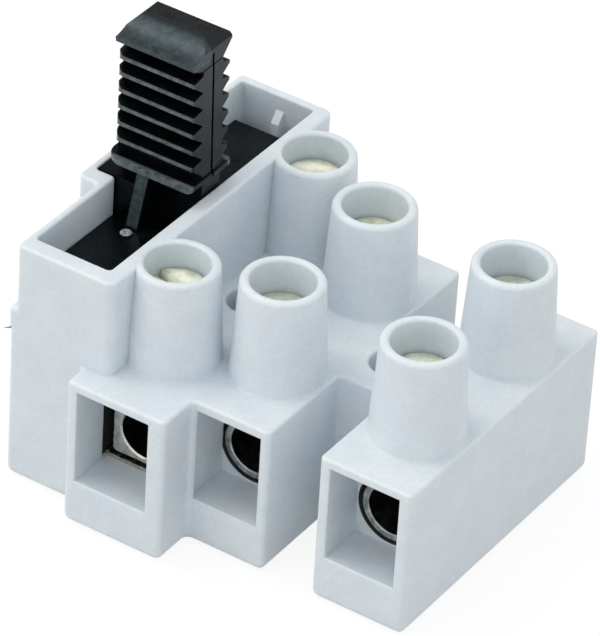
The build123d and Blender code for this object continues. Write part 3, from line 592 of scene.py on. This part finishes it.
class FUSEBLOCK_OT_screws(bpy.types.Operator):
    """Clamp screws: the slotted head as it is, on a shank with a real thread"""
    bl_idname = "fuseblock.screws"
    bl_label = "Clamp screws"

    RINGS_PER_TURN = 8
    NECK = 0.5 * MM
    RUN_OUT = 0.7 * MM
    ROOT_FLAT, CREST_FLAT = 0.15, 0.15

    def thread_groove(self, settings, corner, low, high):
        """Depth of the thread's groove at one point of the shank's side."""
        turn = math.atan2(corner.y, corner.x) / math.tau
        phase = (corner.z / settings.pitch - turn) % 1.0
        slope = (abs(2 * phase - 1) - self.ROOT_FLAT) / (1 - self.ROOT_FLAT - self.CREST_FLAT)
        groove = 1.0 - min(max(slope, 0.0), 1.0)
        tip = (corner.z - low) / self.RUN_OUT
        neck = (high - self.NECK - corner.z) / self.RUN_OUT
        full = min(max(neck, 0.0), 1.0)
        return settings.thread_depth * (groove * full + (1 - min(max(tip, 0.0), 1.0)) * (1 - groove))

    def threaded_shank(self, context, low, high, x, y):
        """A shank from low to high, round the axis through x and y, as a closed mesh."""
        settings = context.scene.fuse_block_screws
        deselect_all()
        bpy.ops.mesh.primitive_cylinder_add(vertices=settings.steps_around, radius=settings.shank_radius,
                                            depth=high - low, end_fill_type="NGON",
                                            location=(0, 0, (low + high) / 2))
        shank = context.active_object
        bpy.ops.object.transform_apply(location=True, rotation=True, scale=True)
        bpy.ops.object.mode_set(mode="EDIT")
        select_long_edges(shank, (high - low) / 2)
        rings = round((high - low) / settings.pitch * self.RINGS_PER_TURN)
        bpy.ops.mesh.subdivide(number_cuts=rings)
        mesh = bmesh.from_edit_mesh(shank.data)
        for corner in mesh.verts:
            radius = settings.shank_radius - self.thread_groove(settings, corner.co, low, high)
            ratio = radius / settings.shank_radius
            corner.co.x *= ratio
            corner.co.y *= ratio
        bmesh.update_edit_mesh(shank.data)
        bpy.ops.mesh.select_all(action="SELECT")
        bpy.ops.transform.translate(value=(x, y, 0))
        bpy.ops.mesh.normals_make_consistent(inside=False)
        bpy.ops.object.mode_set(mode="OBJECT")
        bpy.ops.object.shade_smooth_by_angle(angle=math.radians(50))
        return shank

    def slotted_head(self, name, cut_height):
        """The head of a CAD screw, cut off square below its underside and closed."""
        deselect_all()
        head = frame["nodes"][name].copy()
        head.data = head.data.copy()
        bpy.context.collection.objects.link(head)
        head.parent = None
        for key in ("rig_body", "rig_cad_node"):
            del head[key]
        make_active(head)
        bpy.ops.object.mode_set(mode="EDIT")
        bpy.ops.mesh.select_all(action="SELECT")
        bpy.ops.mesh.remove_doubles(threshold=0.001 * MM)
        bpy.ops.mesh.bisect(plane_co=(0, 0, cut_height), plane_no=(0, 0, 1), clear_inner=True, use_fill=True)
        bpy.ops.object.mode_set(mode="OBJECT")
        return head

    def execute(self, context):
        settings = context.scene.fuse_block_screws
        zinc = plated_metal("zinc_plated_steel", "#E9ECDC", "#CDD0BE", 0.55, 0.68)
        for name in SCREWS:
            node = "clamp_screw_" + name
            low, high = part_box(node)
            underside = high.z - settings.head_height
            head = self.slotted_head(node, underside - self.NECK)
            shank = self.threaded_shank(context, low.z, underside - self.NECK / 2,
                                        (low.x + high.x) / 2, (low.y + high.y) / 2)
            make_active(head)
            shank.select_set(True)
            bpy.ops.object.join()
            bpy.ops.object.shade_smooth_by_angle(angle=math.radians(35))
            seat(head, "threaded_screw_" + name, zinc, "screw_" + name)
            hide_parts(node)
        return {"FINISHED"}


class FUSEBLOCK_OT_stage(bpy.types.Operator):
    """Pale floor, soft lights and a camera at the photograph's viewing angle"""
    bl_idname = "fuseblock.stage"
    bl_label = "Stage"

    FLOOR_SIZE = 4.0
    FLOOR_DROP = 0.02 * MM
    FLOOR_GLOW = 0.86
    FLOOR_FILL = (0.16, 0.16, 0.16, 1.0)
    PHOTO_HEIGHT, PHOTO_FOCAL_LENGTH = 636, 5600.0
    SENSOR_WIDTH = 36.0
    CLIP_NEAR, CLIP_FAR = 0.01, 20.0
    AIM = Vector((-0.05, -0.63, 14.29)) * MM
    LAMP_AIM = Vector((0.0, 0.0, 10.0)) * MM

    def background_rays(self, tree):
        """1 for rays that look at the background, straight, in a reflection or through glass."""
        path = add_node(tree, "ShaderNodeLightPath")
        seen = add_node(tree, "ShaderNodeMath", [(0, path, "Is Camera Ray"), (1, path, "Is Glossy Ray")],
                        operation="MAXIMUM")
        return add_node(tree, "ShaderNodeMath", [(0, seen, 0), (1, path, "Is Transmission Ray")],
                        operation="MAXIMUM")

    def card(self, name, size, location, direction, material):
        """A flat square that faces along a direction."""
        turn = Vector(direction).to_track_quat("Z", "Y").to_euler()
        deselect_all()
        bpy.ops.mesh.primitive_plane_add(size=size, location=location, rotation=turn)
        card = bpy.context.active_object
        bpy.ops.object.transform_apply(location=True, rotation=True, scale=True)
        card.name = name
        card.data.materials.append(material)
        return card

    def pale_floor(self):
        """Pale paper that takes the block's shadow, nearly white when seen straight or in a reflection."""
        material, tree, place = new_material("pale_floor")
        paper = add_node(tree, "ShaderNodeBsdfDiffuse", sockets={"Color": hex_to_linear("#D6D6D6")})
        glow = add_node(tree, "ShaderNodeEmission",
                        sockets={"Color": hex_to_linear("#FFFFFF"), "Strength": self.FLOOR_GLOW})
        thin = add_node(tree, "ShaderNodeBsdfDiffuse", sockets={"Color": self.FLOOR_FILL})
        seen = add_node(tree, "ShaderNodeAddShader", [(0, glow, 0), (1, thin, 0)])
        mix = add_node(tree, "ShaderNodeMixShader",
                       [(0, self.background_rays(tree), 0), (1, paper, 0), (2, seen, 0)])
        add_node(tree, "ShaderNodeOutputMaterial", [("Surface", mix, 0)])
        tree.nodes.remove(place)
        return material

    def black_card(self):
        """Matt black card behind the block, for reflections alone: what the level black faces mirror."""
        material, tree, place = new_material("black_card")
        fibres = add_node(tree, "ShaderNodeTexNoise", [("Vector", place, "Object")], grain(8.0, 2.0, 0.5))
        felt = add_node(tree, "ShaderNodeValToRGB", [("Fac", fibres, "Fac")])
        two_tone(felt, "#050505", "#0B0B0B")
        shader = add_node(tree, "ShaderNodeBsdfDiffuse", [("Color", felt, "Color")])
        add_node(tree, "ShaderNodeOutputMaterial", [("Surface", shader, 0)])
        return material

    def soft_room(self, scene):
        """Even light from all round, seen as white where nothing stands before it."""
        world = bpy.data.worlds.new("soft_room")
        scene.world = world
        world.use_nodes = True
        tree = world.node_tree
        tree.nodes.clear()
        room = add_node(tree, "ShaderNodeBackground", sockets={"Color": ROOM_TINT, "Strength": ROOM_STRENGTH})
        white = add_node(tree, "ShaderNodeBackground", sockets={"Color": (1, 1, 1, 1), "Strength": 1.0})
        mix = add_node(tree, "ShaderNodeMixShader",
                       [(0, self.background_rays(tree), 0), (1, room, 0), (2, white, 0)])
        add_node(tree, "ShaderNodeOutputWorld", [("Surface", mix, 0)])

    def execute(self, context):
        settings = context.scene.fuse_block_stage
        scene = context.scene
        scene.view_settings.view_transform = "Standard"
        floor_place = (0, 0, CAD_BOX[0].z - self.FLOOR_DROP)
        self.card("floor", self.FLOOR_SIZE, floor_place, (0, 0, 1), self.pale_floor())
        direction = Vector(CARD_DIRECTION)
        card = self.card("black_card", CARD_SIZE, direction * CARD_DISTANCE, -direction, self.black_card())
        card.visible_camera = False
        card.visible_diffuse = False
        card.visible_transmission = False
        card.visible_shadow = False
        self.soft_room(scene)

        for name, direction, size, watts, tint in LAMPS:
            place = Vector(direction).normalized() * LAMP_DISTANCE
            bpy.ops.object.light_add(type="AREA", location=place)
            lamp = context.active_object
            lamp.name = name
            lamp.data.size = size
            lamp.data.energy = watts
            lamp.data.color = tint
            lamp.rotation_euler = (self.LAMP_AIM - place).to_track_quat("-Z", "Y").to_euler()

        azimuth, elevation = settings.view_azimuth, settings.view_elevation
        back = Vector((math.sin(azimuth) * math.cos(elevation), -math.cos(azimuth) * math.cos(elevation),
                       math.sin(elevation)))
        bpy.ops.object.camera_add(location=self.AIM + back * settings.view_distance)
        camera = context.active_object
        camera.name = "photo_camera"
        turn = (-back).to_track_quat("-Z", "Y").to_matrix() @ Matrix.Rotation(settings.view_roll, 3, "Z")
        camera.rotation_euler = turn.to_euler()
        camera.data.sensor_width = self.SENSOR_WIDTH
        camera.data.lens = self.PHOTO_FOCAL_LENGTH * camera.data.sensor_width / self.PHOTO_HEIGHT
        camera.data.clip_start = self.CLIP_NEAR
        camera.data.clip_end = self.CLIP_FAR
        scene.camera = camera
        return {"FINISHED"}


OPERATORS = (
    FUSEBLOCK_OT_housing, FUSEBLOCK_OT_flash, FUSEBLOCK_OT_carrier, FUSEBLOCK_OT_clamps,
    FUSEBLOCK_OT_clips, FUSEBLOCK_OT_fuse, FUSEBLOCK_OT_screws, FUSEBLOCK_OT_stage,
)
SETTINGS = {
    "fuse_block_nylon": FuseBlockNylonSettings,
    "fuse_block_screws": FuseBlockScrewSettings,
    "fuse_block_stage": FuseBlockStageSettings,
}


class FUSEBLOCK_PT_panel(bpy.types.Panel):
    bl_label = "Fuse block"
    bl_space_type = "VIEW_3D"
    bl_region_type = "UI"
    bl_category = "Fuse block"

    def draw(self, context):
        for operator in OPERATORS:
            self.layout.operator(operator.bl_idname)


CLASSES = (*SETTINGS.values(), *OPERATORS, FUSEBLOCK_PT_panel)


def register():
    for cls in CLASSES:
        bpy.utils.register_class(cls)
    for name, group in SETTINGS.items():
        setattr(bpy.types.Scene, name, PointerProperty(type=group))


def unregister():
    for name in SETTINGS:
        delattr(bpy.types.Scene, name)
    for cls in reversed(CLASSES):
        bpy.utils.unregister_class(cls)


def main():
    register()
    deselect_all()
    bpy.ops.fuseblock.housing()
    bpy.ops.fuseblock.flash()
    bpy.ops.fuseblock.carrier()
    bpy.ops.fuseblock.clamps()
    bpy.ops.fuseblock.clips()
    bpy.ops.fuseblock.fuse()
    bpy.ops.fuseblock.screws()
    bpy.ops.fuseblock.stage()


if __name__ == "__main__":
    main()
